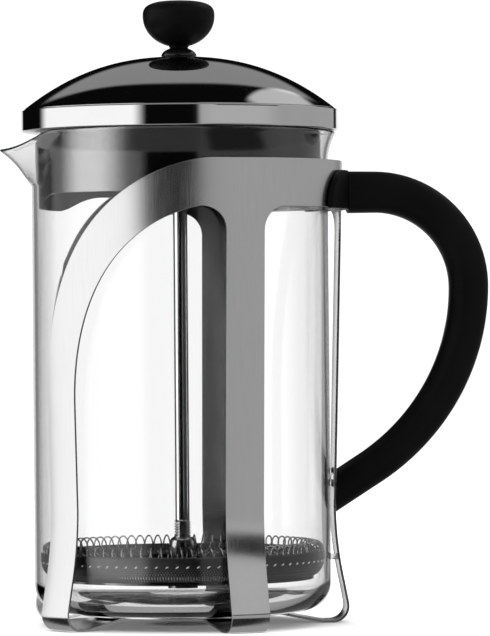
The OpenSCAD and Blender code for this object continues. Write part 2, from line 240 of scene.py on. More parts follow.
# streaked steel: base grey, roughness, streak contrast, stretch of the streaks, bump
CARRIER_STEEL = streaked_steel("carrier_steel", 0.79, 0.17, 0.02, (2600, 2600, 60), 0.04, spread=0.9)
CUT_EDGE = streaked_steel("cut_edge_steel", 0.55, 0.28, 0.05, (900, 900, 3000), 0.3)
LID_STEEL = mirror_steel("lid_steel")
SLEEVE_STEEL = streaked_steel("sleeve_steel", 0.38, 0.12, 0.015, (2200, 2200, 90), 0.05, spread=0.8)
ROD_STEEL = streaked_steel("rod_steel", 0.88, 0.07, 0.02, (300, 300, 9000), 0.05)
HUB_STEEL = streaked_steel("hub_steel", 0.60, 0.14, 0.05, (900, 900, 900), 0.2)
FILTER_STEEL = streaked_steel("filter_steel", 0.26, 0.24, 0.05, (900, 900, 900), 0.3)
WIRE_STEEL = streaked_steel("wire_steel", 0.72, 0.10, 0.05, (700, 700, 700), 0.1)
# the stitches get near-white, hardly metallic steel: a painted glint on the spring's wire
STITCH_GLINT_WHITE = streaked_steel("stitch_painted_glint", 0.97, 0.25, 0.02, (700, 700, 700), 0.1, metallic=0.1)
MESH_STEEL = woven_mesh("mesh_steel")
# moulded plastic: base grey, roughness, grain strength and scale
HANDLE_BLACK = moulded_black("handle_black", 0.0025, 0.46, 0.25, 2600, shine=0.07)
KNOB_BLACK = moulded_black("knob_black", 0.0025, 0.42, 0.25, 2600, shine=0.07)
GLOSS_BLACK = moulded_black("bush_black", 0.003, 0.12, 0.04, 900, shine=0.3, coat=0.3)
BUMPER_CLEAR = clear_rubber("bumper_clear")
BRASS = streaked_steel("insert_brass", 0.5, 0.3, 0.05, (800, 800, 2500), 0.3,
                       colours=((0.62, 0.42, 0.16), (0.78, 0.56, 0.26)))
GLASS = clear_glass("beaker_glass")


# ---------------------------------------------------------------- mesh helpers

def piece(name, verts, faces, mat, body, nodes, slot, sharp, merge=0.0):
    """A mesh object from millimetre points, which rides on a body and stands for CAD nodes.

    Edges that turn by more than sharp, in degrees, look sharp; 0 keeps the whole piece smooth.
    """
    mesh = bpy.data.meshes.new(name)
    mesh.from_pydata([Vector(v) * MM for v in verts], [], faces)
    bm = bmesh.new()
    bm.from_mesh(mesh)
    if merge:
        bmesh.ops.remove_doubles(bm, verts=bm.verts, dist=merge * MM)
    bmesh.ops.recalc_face_normals(bm, faces=bm.faces)
    bm.to_mesh(mesh)
    bm.free()
    mesh.shade_smooth()
    if sharp:
        mesh.set_sharp_from_angle(angle=math.radians(sharp))
    mesh.materials.append(mat)
    obj = bpy.data.objects.new(name, mesh)
    bpy.context.scene.collection.objects.link(obj)
    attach(obj, body)
    if nodes:
        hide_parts(*nodes)
    return obj


def thicken(obj, thickness, edge, segments=2, rim_slot=0):
    """Gives a sheet its thickness, half to each side, and small rounded edges."""
    solid = obj.modifiers.new("thickness", "SOLIDIFY")
    solid.material_offset_rim = rim_slot
    solid.thickness = thickness * MM
    solid.offset = 0.0
    solid.use_even_offset = True
    soften(obj, edge, segments)


def soften(obj, edge, segments=2, angle=50):
    """Rounds off the edges that turn by more than an angle."""
    bevel = obj.modifiers.new("edges", "BEVEL")
    bevel.width = edge * MM
    bevel.segments = segments
    bevel.limit_method = "ANGLE"
    bevel.angle_limit = math.radians(angle)
    bevel.harden_normals = True


def arc(x, y, r, a, b, n):
    """Points of an arc about (x, y), from angle a to angle b in degrees."""
    turns = [math.radians(a + (b - a) * i / n) for i in range(n + 1)]
    return [(x + r * math.cos(turn), y + r * math.sin(turn)) for turn in turns]


def circle(x, y, r, n):
    """Points of a circle about (x, y), without a repeated end point."""
    return [(x + r * math.cos(TAU * k / n), y + r * math.sin(TAU * k / n)) for k in range(n)]


def rounded(points, steps):
    """An outline whose corners (x, y, radius) are rounded off by arcs."""
    out = []
    n = len(points)
    for i, (x, y, r) in enumerate(points):
        if not r:
            out.append((x, y))
            continue
        here = Vector((x, y))
        before = (Vector(points[i - 1][:2]) - here).normalized()
        after = (Vector(points[(i + 1) % n][:2]) - here).normalized()
        half = before.angle(after) / 2
        reach = r / math.tan(half)
        centre = here + (before + after).normalized() * (r / math.sin(half))
        start, end = here + before * reach - centre, here + after * reach - centre
        sweep = start.angle_signed(end)
        for k in range(steps + 1):
            p = start.copy()
            p.rotate(Matrix.Rotation(-sweep * k / steps, 2))
            out.append(tuple(centre + p))
    return out


def wrapped(rings):
    """Faces between rings of point numbers; a ring at the axis has one number throughout."""
    faces = []
    for a, b in zip(rings, rings[1:]):
        for k in range(len(a)):
            j = (k + 1) % len(a)
            face = list(dict.fromkeys([a[k], a[j], b[j], b[k]]))
            if len(face) > 2:
                faces.append(face)
    return faces


def turned(profile, count, ring):
    """Rings of points round Z for an outline of (radius, height); ring(r, z) gives one ring."""
    verts, rings = [], []
    for r, z in profile:
        if r < AXIS:
            rings.append([len(verts)] * count)
            verts.append((0, 0, z))
        else:
            rings.append(list(range(len(verts), len(verts) + count)))
            verts += ring(r, z)
    return verts, rings


def lathe(profile, segments, closed=True):
    """Turns an outline of (radius, height) round Z. A closed outline makes a solid ring."""
    def ring(r, z):
        return [(x, y, z) for x, y in circle(0, 0, r, segments)]

    verts, rings = turned(profile, segments, ring)
    return verts, wrapped(rings + rings[:1] if closed else rings)


def grid(rows):
    """Quads between rows of points, all rows as long as each other."""
    verts = [p for row in rows for p in row]
    n = len(rows[0])
    faces = [
        (i * n + k, i * n + k + 1, (i + 1) * n + k + 1, (i + 1) * n + k)
        for i in range(len(rows) - 1)
        for k in range(n - 1)
    ]
    return verts, faces


def joined(*parts):
    """Several (points, faces) as one."""
    verts, faces = [], []
    for v, f in parts:
        faces += [[i + len(verts) for i in face] for face in f]
        verts += v
    return verts, faces


def tube(points, radius, sides, reference, closed=False):
    """A round wire along points. reference(i) gives a direction that isn't along the wire."""
    verts, faces = [], []
    n = len(points)
    pts = [Vector(p) for p in points]
    for i, p in enumerate(pts):
        before = pts[i - 1] if closed or i else pts[0]
        after = pts[(i + 1) % n] if closed or i < n - 1 else pts[-1]
        along = (after - before).normalized()
        side = along.cross(reference(i)).normalized()
        up = side.cross(along)
        verts += [tuple(p + u * side + v * up) for u, v in circle(0, 0, radius, sides)]
    for i in range(n if closed else n - 1):
        j = (i + 1) % n
        for k in range(sides):
            m = (k + 1) % sides
            faces.append((i * sides + k, i * sides + m, j * sides + m, j * sides + k))
    if not closed:
        faces.append(tuple(range(sides)))
        faces.append(tuple(range((n - 1) * sides, n * sides))[::-1])
    return verts, faces


def polar(deg, r, z):
    """A point at deg from -Y toward the handle, at radius r."""
    a = math.radians(deg)
    return (r * math.sin(a), -r * math.cos(a), z)


# ---------------------------------------------------------------- carrier

def sheet_r(z):
    """Radius of the sheet's middle line above the knee."""
    return KNEE_R + (z - KNEE_Z) * (COLLAR_R - KNEE_R) / (COLLAR_TOP - KNEE_Z)


def leg_line():
    """The sheet's middle line below the knee: flare, curl under the foot, run in to the base."""
    flare_deg, flare_r = 12.5, 122.0
    curl_x, curl_r = 50.6, 5.6
    low, high = SHEET_T / 2, BASE_Z + SHEET_T / 2
    line = arc(KNEE_R + flare_r, KNEE_Z, flare_r, 180, 180 + flare_deg, 12)[1:]
    line += arc(curl_x, curl_r, curl_r - SHEET_T / 2, flare_deg, -90, 22)
    line += [(curl_x - 1.5, low), (curl_x - 3, low), (40, 1.9)]
    line += [(34, high - 0.2), (33, high), (20, high)]
    return line


def column_angles(deg, half, r, columns):
    """Angles of evenly spaced columns, out to a distance half on each side of direction deg."""
    sides = [half * (2 * k / columns - 1) for k in range(columns + 1)]
    return [deg + math.degrees(math.asin(x / r)) for x in sides]


def level_row(deg, half, r, z, columns):
    """Points at one height and radius, out to half on each side of direction deg."""
    return [polar(a, r, z) for a in column_angles(deg, half, r, columns)]


def leg_rows(leg, top, columns):
    """Rows of a leg from height top down to the base."""
    heights = [top + (KNEE_Z - top) * i / 14 for i in range(15)]
    line = [(sheet_r(z), z) for z in heights] + leg_line()
    return [level_row(leg, LEG_W / 2, r, z, columns) for r, z in line]


HEAD_COLUMNS = 16
HEAD_LOW = COLLAR_BOTTOM - LEG_FILLET


def head_rows(leg):
    """Rows of a leg's head, which widens into the collar with round corners."""
    rows = []
    for i in range(11):
        a = math.radians(90 * i / 10)
        z = HEAD_LOW + LEG_FILLET * math.sin(a)
        half = LEG_W / 2 + LEG_FILLET * (1 - math.cos(a))
        rows.append(level_row(leg, half, sheet_r(z), z, HEAD_COLUMNS))
    return rows


def head_angles(leg):
    """Angles of a head's columns where it meets the collar."""
    return column_angles(leg, LEG_W / 2 + LEG_FILLET, sheet_r(COLLAR_BOTTOM), HEAD_COLUMNS)


# the arch: quarter ellipses for its outer and inner edge, from the spout-side leg to the collar
ARCH_Z = 75.0
ARCH_HALF = math.degrees(math.asin(LEG_W / 2 / sheet_r(ARCH_Z)))
ARCH_END = head_angles(MID_LEG)[0]
ARCH_OUTER_DEG, ARCH_INNER_DEG = 14, 11
ARCH_OUTER_TOP = COLLAR_TOP + 0.6
ARCH_STEPS = 48
BAND_ROWS = 8


def outer_height(deg):
    """Height of the carrier's upper edge at angle deg."""
    if deg > ARCH_OUTER_DEG:
        return COLLAR_TOP
    cosine = (deg - ARCH_OUTER_DEG) / (SPOUT_LEG - ARCH_HALF - ARCH_OUTER_DEG)
    sine = math.sqrt(max(0.0, 1 - cosine * cosine))
    return min(COLLAR_TOP, ARCH_Z + (ARCH_OUTER_TOP - ARCH_Z) * sine)


def arch_edge(leg_deg, top_deg, top_z):
    """(angle, height) along one edge of the arch, up to the head of the middle leg."""
    last = math.acos((ARCH_END - top_deg) / (leg_deg - top_deg))
    edge = []
    for i in range(ARCH_STEPS + 1):
        a = last * i / ARCH_STEPS
        edge.append((top_deg + (leg_deg - top_deg) * math.cos(a), ARCH_Z + (top_z - ARCH_Z) * math.sin(a)))
    return edge


def arch_rows():
    """Rows across the arch, from the spout-side leg up to the collar."""
    outer_leg, inner_leg = SPOUT_LEG - ARCH_HALF, SPOUT_LEG + ARCH_HALF
    cosine = (ARCH_END - ARCH_INNER_DEG) / (inner_leg - ARCH_INNER_DEG)
    inner_top = ARCH_Z + (COLLAR_BOTTOM - ARCH_Z) / math.sin(math.acos(cosine))
    outer = arch_edge(outer_leg, ARCH_OUTER_DEG, ARCH_OUTER_TOP)
    inner = arch_edge(inner_leg, ARCH_INNER_DEG, inner_top)
    rows = []
    for (d0, z0), (d1, z1) in zip(outer, inner):
        row = []
        for k in range(BAND_ROWS + 1):
            z = z0 + (z1 - z0) * k / BAND_ROWS
            row.append(polar(d0 + (d1 - d0) * k / BAND_ROWS, sheet_r(z), z))
        rows.append(row)
    return rows


def mirrored(part):
    """The same points and faces on the far side."""
    verts, faces = part
    return [(x, -y, z) for x, y, z in verts], [tuple(f)[::-1] for f in faces]


def collar_rows():
    """Columns of the collar's near half, from the middle leg's head to the handle's middle."""
    angles = head_angles(MID_LEG)
    middle = head_angles(HANDLE_LEG)
    start, end = angles[-1], middle[0]
    angles += [start + (end - start) * i / 14 for i in range(1, 14)] + middle[: HEAD_COLUMNS // 2 + 1]
    rows = []
    for deg in angles:
        step = (outer_height(deg) - COLLAR_BOTTOM) / BAND_ROWS
        heights = [COLLAR_BOTTOM + step * k for k in range(BAND_ROWS + 1)]
        rows.append([polar(deg, sheet_r(z), z) for z in heights])
    return rows


def build_carrier():
    """One sheet with collar, two arches and five legs, thickened, with bare cut edges."""
    near = [grid(arch_rows()), grid(leg_rows(SPOUT_LEG, ARCH_Z, BAND_ROWS))]
    near += [grid(head_rows(MID_LEG)), grid(leg_rows(MID_LEG, HEAD_LOW, HEAD_COLUMNS))]
    near.append(grid(collar_rows()))
    far = [mirrored(part) for part in near]
    handle_leg = [grid(head_rows(HANDLE_LEG)), grid(leg_rows(HANDLE_LEG, HEAD_LOW, HEAD_COLUMNS))]
    obj = piece("carrier_sheet", *joined(*near, *far, *handle_leg), CARRIER_STEEL, "carrier",
                ["carrier_frame"], "carrier_steel", sharp=0, merge=0.06)
    obj.data.materials.append(CUT_EDGE)
    thicken(obj, SHEET_T, 0.14, rim_slot=1)


# ---------------------------------------------------------------- handle

ARM_Z = 145.3
HANDLE_REACH = 97.95
# depth of the grip at its upper and lower end, width, and how square its section is
GRIP_TOP, GRIP_END, GRIP_W = 14.2, 12.0, 15.0
GRIP_POWER = 0.75
BEND_R = 32.0
# the sweep back to the leg: part of an ellipse, to an angle in degrees
FOOT_Z = 46.3
SWEEP_A, SWEEP_END = 77.0, 57.0
SWEEP_B = ARM_Z - BEND_R - FOOT_Z + 7
CLIP_R = CLIP_HI[0]
SEAT_GAP = 0.1


def handle_line():
    """Middle line of the handle: straight arm, round bend, long sweep back to the leg."""
    line = [(CLIP_R, ARM_Z)] + [(CLIP_R + 8 * i / 5, ARM_Z) for i in range(1, 6)]
    bend_x = HANDLE_REACH - BEND_R
    line += arc(bend_x, ARM_Z - BEND_R, BEND_R, 90, 0, 26)
    for i in range(1, 41):
        a = math.radians(SWEEP_END * i / 40)
        line.append((HANDLE_REACH - SWEEP_A * (1 - math.cos(a)), ARM_Z - BEND_R - SWEEP_B * math.sin(a)))
    # one more step straight on, which the leg cuts off
    line.append((line[-1][0] * 2 - line[-2][0], line[-1][1] * 2 - line[-2][1]))
    return line


def build_grip():
    """The loop handle: rounded sections along its middle line, cut to the clip and the leg."""
    line = handle_line()
    n = len(line)
    sides = 48
    rings = []
    for i in range(n):
        a, b = Vector(line[max(i - 1, 0)]), Vector(line[min(i + 1, n - 1)])
        d = (b - a).normalized()
        out = Vector((-d.y, d.x))
        depth = GRIP_TOP + (GRIP_END - GRIP_TOP) * i / (n - 1)
        ring = []
        for k in range(sides):
            t = TAU * k / sides
            u = depth / 2 * math.copysign(abs(math.cos(t)) ** GRIP_POWER, math.cos(t))
            v = GRIP_W / 2 * math.copysign(abs(math.sin(t)) ** GRIP_POWER, math.sin(t))
            ring.append(Vector((line[i][0] + out.x * u, v, line[i][1] + out.y * u)))
        rings.append(ring)
    # the first ring lies on the clip, and the next ones stay clear of it
    clip_seat = CLIP_R + SEAT_GAP
    for p in rings[0]:
        p.x = math.sqrt(clip_seat ** 2 - p.y ** 2)
    for ring in rings[1:6]:
        for p in ring:
            p.x = max(p.x, math.sqrt(clip_seat ** 2 - p.y ** 2) + 0.02)
    # the last ring is moved along the handle's run until it lies on the leg
    run = Vector((line[-1][0] - line[-2][0], 0, line[-1][1] - line[-2][1]))
    for p in rings[-1]:
        for _ in range(3):
            seat = max(sheet_r(p.z), KNEE_R) + SHEET_T / 2 + SEAT_GAP
            p += run * ((math.sqrt(seat ** 2 - p.y ** 2) - p.x) / run.x)
    rows = [[tuple(p) for p in ring] + [tuple(ring[0])] for ring in rings]
    verts, faces = grid(rows)
    width = sides + 1
    faces.append(tuple(range(sides)))
    faces.append(tuple(range((n - 1) * width, (n - 1) * width + sides))[::-1])
    obj = piece("handle_moulding", verts, faces, HANDLE_BLACK, "carrier", ["handle_grip"],
                "handle_black", sharp=50, merge=0.01)
    soften(obj, 0.35, 3, 60)


def build_clip():
    """The clip that hugs the collar, with round upper corners."""
    inner = COLLAR_R + SHEET_T / 2 + 0.12
    thick = CLIP_R - inner
    middle = inner + thick / 2
    half = max(CLIP_HI[1], -CLIP_LO[1]) - 0.4
    corner, taper = 11.0, 0.05
    low, high = CLIP_LO[2] + 0.02, CLIP_HI[2] - 0.02
    start = high - corner
    heights = [low + (start - low) * i / 6 for i in range(7)]
    heights += [start + corner * math.sin(math.radians(5 * i)) for i in range(1, 19)]
    rows = []
    for z in heights:
        lift = max(0.0, z - start)
        across = half - corner + math.sqrt(max(0.0, corner ** 2 - lift ** 2)) - taper * (z - low)
        rows.append(level_row(HANDLE_LEG, across, middle, z, 32))
    obj = piece("handle_saddle", *grid(rows), HANDLE_BLACK, "carrier", ["handle_clip"],
                "handle_black", sharp=0)
    thicken(obj, thick, 0.4, segments=3)


def build_screws():
    """Two low-head screws with a round recess, heads inside the carrier."""
    head_r, head_t, recess_r = 3.5, 1.0, 1.6
    shank_r, root_r, half_pitch, end = 2.0, 1.72, 0.35, 9.75
    outline = rounded([
        (0, 0.3, 0), (recess_r - 0.15, 0.3, 0), (recess_r, 0, 0.05), (recess_r, -head_t, 0.05),
        (head_r - 0.5, -head_t, 0.3), (head_r, -0.2, 0.1), (head_r, 0, 0)], 3)
    outline.append((shank_r, 0.0))
    outline += [(shank_r if i % 2 else root_r, 0.6 + half_pitch * i) for i in range(28)]
    outline += [(1.2, end), (0, end)]
    verts, faces = lathe(outline, 32, closed=False)
    parts = []
    for z in (ARM_Z, box_mm("handle_screws")[0][2] + head_r):
        start = sheet_r(z) - SHEET_T / 2
        parts.append(([(start + h, y, z + x) for x, y, h in verts], faces))
    piece("handle_bolts", *joined(*parts), ROD_STEEL, "carrier", ["handle_screws"], "screw_steel", sharp=30)


# ---------------------------------------------------------------- beaker

GLASS_R = 50.0
GLASS_WALL = 1.7
RIM_R = 52.6
RIM_Z = GLASS_HI[2]
FLARE_Z = 155.0
SPOUT_Z = 148.0
SPOUT_HALF = 24.0
SPOUT_REACH = -GLASS_LO[0]
SPOUT_DROP = 5.6


def glass_section():
    """Outline of the glass wall, outside from the middle of the base, over the rim, and inside."""
    floor = GLASS_LO[2]
    corner = 9.0
    wall_top = RIM_Z - GLASS_WALL / 2
    outer = [(0, floor + 0.5), (14, floor + 0.5), (26, floor + 0.28), (34, floor + 0.02), (37, floor)]
    outer += arc(GLASS_R - corner, floor + corner, corner, -88, 0, 16)
    outer += [(GLASS_R, floor + corner + (SPOUT_Z - floor - corner) * i / 10) for i in range(1, 10)]
    heights = [SPOUT_Z + (wall_top - SPOUT_Z) * i / 16 for i in range(17)]

    def flare(z):
        return (RIM_R - GLASS_R) * max(0.0, (z - FLARE_Z) / (wall_top - FLARE_Z)) ** 2

    outer += [(GLASS_R + flare(z), z) for z in heights]
    lip = arc(RIM_R - GLASS_WALL / 2, wall_top, GLASS_WALL / 2, 0, 180, 8)[1:-1]
    inner_r = GLASS_R - GLASS_WALL
    bottom = floor + 3.0
    inner_corner = corner - GLASS_WALL
    inner = [(inner_r + flare(z), z) for z in reversed(heights)]
    wall_low = bottom + inner_corner
    inner += [(inner_r, wall_low + (SPOUT_Z - wall_low) * i / 10) for i in range(9, 0, -1)]
    inner += arc(inner_r - inner_corner, wall_low, inner_corner, 0, -88, 16)
    inner += [(34, bottom), (20, bottom + 0.15), (0, bottom + 0.2)]
    return outer + lip + inner


def spout_shape(deg, r, z):
    """Pulls the rim out and down into the spout; deg is the angle from -X."""
    if z <= SPOUT_Z or r < 40:
        return r, z
    blunt, start, power = 0.08, 0.04, 0.9
    t = min(1.0, math.hypot(deg / SPOUT_HALF, blunt) - blunt)
    side = max(0.0, 1 - t) ** 1.5
    side = side * (1 - 0.25 * (1 - side))
    wide = max(0.0, 1 - (abs(deg) / (SPOUT_HALF * 1.35)) ** 2) ** 2
    s = (z - SPOUT_Z) / (RIM_Z - SPOUT_Z)
    lift = ((s + start) ** power - start ** power) / ((1 + start) ** power - start ** power)
    top = RIM_Z - SPOUT_DROP * wide
    pull = (SPOUT_REACH - RIM_R - 0.05) * side * lift
    return r + pull, SPOUT_Z + (z - SPOUT_Z) * (top - SPOUT_Z) / (RIM_Z - SPOUT_Z)


def build_beaker():
    """Blown glass; its columns stand closer together near the spout."""
    close = 34
    angles = [a for a in (-180 + 360 * i / 160 for i in range(160)) if abs(a) > close]
    angles = sorted(angles + [-close + 2 * close * i / 90 for i in range(91)])

    def ring(r, z):
        points = []
        for deg in angles:
            r1, z1 = spout_shape(deg, r, z)
            a = math.radians(deg)
            points.append((-r1 * math.cos(a), -r1 * math.sin(a), z1))
        return points

    verts, rings = turned(glass_section(), len(angles), ring)
    piece("glass_beaker", verts, wrapped(rings), GLASS, "glass", ["beaker"], "glass", sharp=60)


# ---------------------------------------------------------------- lid

LID_R = LID_HI[0]
LID_Z = LID_LO[2]
BAND_H = 7.0
DOME_R = LID_R - 0.6
DOME_Z = LID_Z + BAND_H
APEX_Z = LID_HI[2]
DOME_H = APEX_Z - DOME_Z
DOME_POWER = 2.35
LID_T = 0.7
STEM_R = 3.65


def dome_line(reach, drop):
    """Points of the dome from the stem's hole out to radius reach, set down by drop."""
    n = 44
    radii = [STEM_R + (reach - STEM_R) * math.sin(math.radians(90 * i / n)) for i in range(n + 1)]
    return [(r, DOME_Z - drop + DOME_H * (1 - (r / DOME_R) ** DOME_POWER)) for r in radii]


def build_dome():
    """Domed shell with an upright band; points beside its round corners keep the band flat."""
    inside = LID_R - LID_T
    band = rounded([
        (DOME_R - 0.3, DOME_Z + 0.15, 0), (LID_R, DOME_Z - 0.3, 0.15), (LID_R, DOME_Z - 0.7, 0),
        (LID_R, LID_Z + 0.6, 0), (LID_R, LID_Z, 0.3), (inside, LID_Z, 0.3),
        (inside, DOME_Z - 1.1, 0.4), (DOME_R - 1.5, DOME_Z - 0.5, 0)], 4)
    outline = dome_line(DOME_R - 0.3, 0.0) + band + dome_line(DOME_R - 2.2, LID_T)[::-1]
    piece("lid_shell", *lathe(outline, 192), LID_STEEL, "lid", ["lid_dome"], "lid_steel", sharp=34)


TONGUE_DEG = 165.0
TONGUE_HALF = 44.0
TONGUE_RAMP = 20.0
SLEEVE_R = 47.6
SLEEVE_Z = 145.0


def build_sleeve():
    """Sleeve with a flange above and one deep tongue."""
    tongue_z = SLEEVE_LO[2] + 0.02
    flange_r = SLEEVE_HI[0] - 0.05
    flange_z = SLEEVE_HI[2] - 0.35
    middle = SLEEVE_R - LID_T / 2
    half = SLEEVE_R * math.sin(math.radians(TONGUE_HALF))
    bend = 1.2
    rows = []
    for i in range(181):
        deg = 360 * i / 180
        a = math.radians(deg)
        off = math.radians((deg - TONGUE_DEG + 180) % 360 - 180)
        side = abs(math.sin(off)) * SLEEVE_R if abs(off) < math.pi / 2 else half
        t = min(1.0, max(0.0, (half - side) / TONGUE_RAMP))
        low = SLEEVE_Z - (SLEEVE_Z - tongue_z) * (1 - math.cos(math.pi * t)) / 2
        column = [(middle, low + (flange_z - bend - low) * k / 10) for k in range(11)]
        column += arc(middle + bend, flange_z - bend, bend, 180, 90, 6)[1:]
        column += [(middle + bend + (flange_r - middle - bend) * k / 3, flange_z) for k in range(1, 4)]
        rows.append([(r * math.cos(a), r * math.sin(a), z) for r, z in column])
    obj = piece("lid_collar", *grid(rows), SLEEVE_STEEL, "lid", ["lid_sleeve"], "sleeve_steel",
                sharp=0, merge=0.01)
    thicken(obj, LID_T - 0.04, 0.12)


BORE = 2.5


def build_bush():
    """Half-ball guide for the rod, with its stem through the dome."""
    stem, r = 3.58, BUSH_HI[0]
    bottom, low, top = BUSH_LO[2], APEX_Z + 0.08, BUSH_HI[2]
    turns = [math.radians(a) for a in range(4, 62, 4)]
    bead = [(r * math.cos(t) ** 0.9, low + (top - low + 0.05) * math.sin(t)) for t in turns]
    outline = [(stem, bottom), (stem, low - 0.05), (r - 0.5, low - 0.02), (r - 0.1, low + 0.08)] + bead
    outline += [(3.0, top), (BORE + 0.2, top), (BORE, top - 0.2), (BORE, bottom)]
    piece("lid_bead", *lathe(outline, 96), GLOSS_BLACK, "bush", ["lid_bush"], "bush_black", sharp=40)


# ---------------------------------------------------------------- plunger

def build_knob():
    """Black pommel: a flattened crown over a deep bowl, with a bore for the rod."""
    r, top = KNOB_HI[0], KNOB_HI[2]
    crown_h, bowl_h, neck_r, steps = 5.3, 10.4, 3.4, 26
    wide = top - crown_h
    turns = [math.radians(90 - 90 * (i / steps)) for i in range(1, steps + 1)]
    crown = [(r * math.cos(t) ** (2 / 3), wide + crown_h * math.sin(t) ** (2 / 3)) for t in turns]
    last = math.acos(neck_r / r)
    turns = [last * i / steps for i in range(1, steps + 1)]
    bowl = [(r * math.cos(t), wide - bowl_h * math.sin(t)) for t in turns]
    seat = BUSH_HI[2] + 0.03
    end = bowl[-1][1]
    outline = [(0, top)] + crown + bowl + [(3.2, seat), (BORE + 0.1, seat)]
    outline += [(BORE, end + 0.2), (BORE, end + 9), (0, end + 9)]
    piece("knob_pommel", *lathe(outline, 128, closed=False), KNOB_BLACK, "plunger",
          ["knob"], "knob_black", sharp=45)


def build_rod():
    """Rod with a coarse rolled thread at its lower end, above and inside the hub."""
    r = ROD_HI[0] - 0.005
    pitch, crest, root = 0.9, r + 0.4, r - 0.35
    thread_top, thread_low = HUB_HI[2] + 5.8, HUB_HI[2] - 0.4
    segments, per_turn = 40, 12
    n = int((thread_top - thread_low) / pitch * per_turn)
    heights = [ROD_LO[2], ROD_LO[2] + 0.3, thread_low - 0.1]
    heights += [thread_low + (thread_top - thread_low) * i / n for i in range(n + 1)]
    heights += [thread_top + 0.1, thread_top + 20, ROD_HI[2] - 20, ROD_HI[2] - 0.4, ROD_HI[2]]
    rows = []
    for z in heights:
        row = []
        for k in range(segments + 1):
            a = TAU * (k % segments) / segments
            radius = r - (0.3 if z in (ROD_LO[2], ROD_HI[2]) else 0.0)
            if thread_low <= z <= thread_top:
                wave = abs(((z / pitch - (k % segments) / segments) % 1.0) * 2 - 1)
                radius = root + (crest - root) * min(1.0, wave * 1.35)
                fade = min(1.0, (thread_top - z) / 0.5, (z - thread_low) / 0.2)
                radius = r + (radius - r) * fade
            row.append((radius * math.cos(a), radius * math.sin(a), z))
        rows.append(row)
    verts, faces = grid(rows)
    width = segments + 1
    faces.append(tuple(range(segments))[::-1])
    faces.append(tuple(range((len(rows) - 1) * width, (len(rows) - 1) * width + segments)))
    piece("threaded_rod", verts, faces, ROD_STEEL, "plunger",
          ["plunger_rod"], "rod_steel", sharp=35, merge=0.001)


def build_hub():
    """Domed nut that holds the filter on the rod."""
    r, top, low = HUB_HI[0], HUB_HI[2], HUB_LO[2] + 0.02
    cap_h, bore = 3.6, 2.44
    shoulder = top - cap_h
    turns = [math.radians(90 * i / 16) for i in range(17)]
    cap = [(BORE + (r - BORE) * math.sin(t) ** 0.8, shoulder + cap_h * math.cos(t) ** 0.8) for t in turns]
    groove = r - 0.3
    outline = [(bore, low), (bore, top - 0.2)] + cap
    outline += [(r, low + 1.4), (groove, low + 1.1), (groove, low + 0.4), (r, low + 0.2), (r, low)]
    piece("domed_hub", *lathe(outline, 96), HUB_STEEL, "plunger", ["clamp_hub"], "filter_steel", sharp=40)


LOOPS = 88
WIRE_R = 0.27
STITCH_Z = 21.6


def stitch(a):
    """A short slanting stretch of the spring's wire that shows on the outside of the mesh; its near-white,
    hardly metallic colour is a painted glint.
    """
    r, bow, half, slant = MESH_HI[0] - 0.12, 0.55, 0.6, 0.35
    spoke, along = Vector((math.cos(a), math.sin(a), 0)), Vector((-math.sin(a), math.cos(a), 0.0))
    points = []
    for i in range(7):
        t = -1 + i / 3
        points.append(spoke * (r - bow * t * t) + along * half * t + Vector((0, 0, STITCH_Z + slant * t)))
    return tube(points, WIRE_R, 6, reference=lambda i: spoke)


def build_spring():
    """Coil spring bent into a ring round the filter."""
    coil_r = (SPRING_HI[2] - SPRING_LO[2]) / 2 - WIRE_R
    ring_r = SPRING_HI[0] - coil_r - WIRE_R
    mid = (SPRING_HI[2] + SPRING_LO[2]) / 2
    per_loop = 16
    points, outward = [], []
    for i in range(LOOPS * per_loop):
        a = TAU * i / (LOOPS * per_loop)
        b = -TAU * i / per_loop
        spoke = Vector((math.cos(a), math.sin(a), 0))
        out = spoke * math.cos(b) + Vector((0, 0, math.sin(b)))
        points.append(spoke * ring_r + Vector((0, 0, mid)) + out * coil_r)
        outward.append(out)
    stitches = joined(*(stitch(TAU * (i + 0.5) / LOOPS) for i in range(LOOPS)))
    # the stitches' near-white colour is a painted glint on the wire
    piece("spring_stitches", *stitches, STITCH_GLINT_WHITE, "plunger", (), "rod_steel", sharp=0)
    verts, faces = tube(points, WIRE_R, 6, closed=True, reference=lambda i: outward[i])
    piece("spring_coil", verts, faces, WIRE_STEEL, "plunger", ["edge_spring"], "rod_steel", sharp=0)


def build_spring_plate():
    """Perforated plate whose upturned rim has one hole for each loop of the spring."""
    base_z, top = PLATE_LO[2], PLATE_HI[2]
    thick = 0.6
    middle = PLATE_HI[0] - thick / 2
    disc = perforated_disc(middle, base_z + thick / 2, 2.6)
    levels = [base_z + up for up in (thick / 2, 1.6, 2.6, 3.5, 4.3)] + [top]
    n = LOOPS * 4
    verts, faces = grid([[(x, y, z) for x, y in circle(0, 0, middle, n) + [(middle, 0)]] for z in levels])
    # one face in four is left out of the third level, as the spring's holes
    faces = [f for i, f in enumerate(faces) if not (i // n == 2 and (i % n) % 4 == 1)]
    obj = piece("spring_cage", *joined(disc, (verts, faces)), FILTER_STEEL, "plunger",
                ["spring_plate"], "filter_steel", sharp=0, merge=0.01)
    thicken(obj, thick - 0.04, 0.08)


def perforated_disc(r, z, bore):
    """A flat sheet with round holes on rings, as a mesh with open holes."""
    rings = [(14, 9, 3.2), (23, 15, 3.2), (32, 21, 3.2)]
    bm = bmesh.new()
    loops = [circle(0, 0, r, LOOPS * 4), circle(0, 0, bore, 32)]
    for ring_r, count, hole_r in rings:
        loops += [circle(x, y, hole_r, 24) for x, y in circle(0, 0, ring_r, count)]
    edges = []
    for loop in loops:
        vs = [bm.verts.new((x, y, z)) for x, y in loop]
        edges += [bm.edges.new((vs[k], vs[(k + 1) % len(vs)])) for k in range(len(vs))]
    bmesh.ops.triangle_fill(bm, use_beauty=True, use_dissolve=False, edges=edges, normal=(0, 0, 1))
    bm.verts.index_update()
    verts = [tuple(v.co) for v in bm.verts]
    faces = [tuple(v.index for v in f.verts) for f in bm.faces]
    bm.free()
    return verts, faces


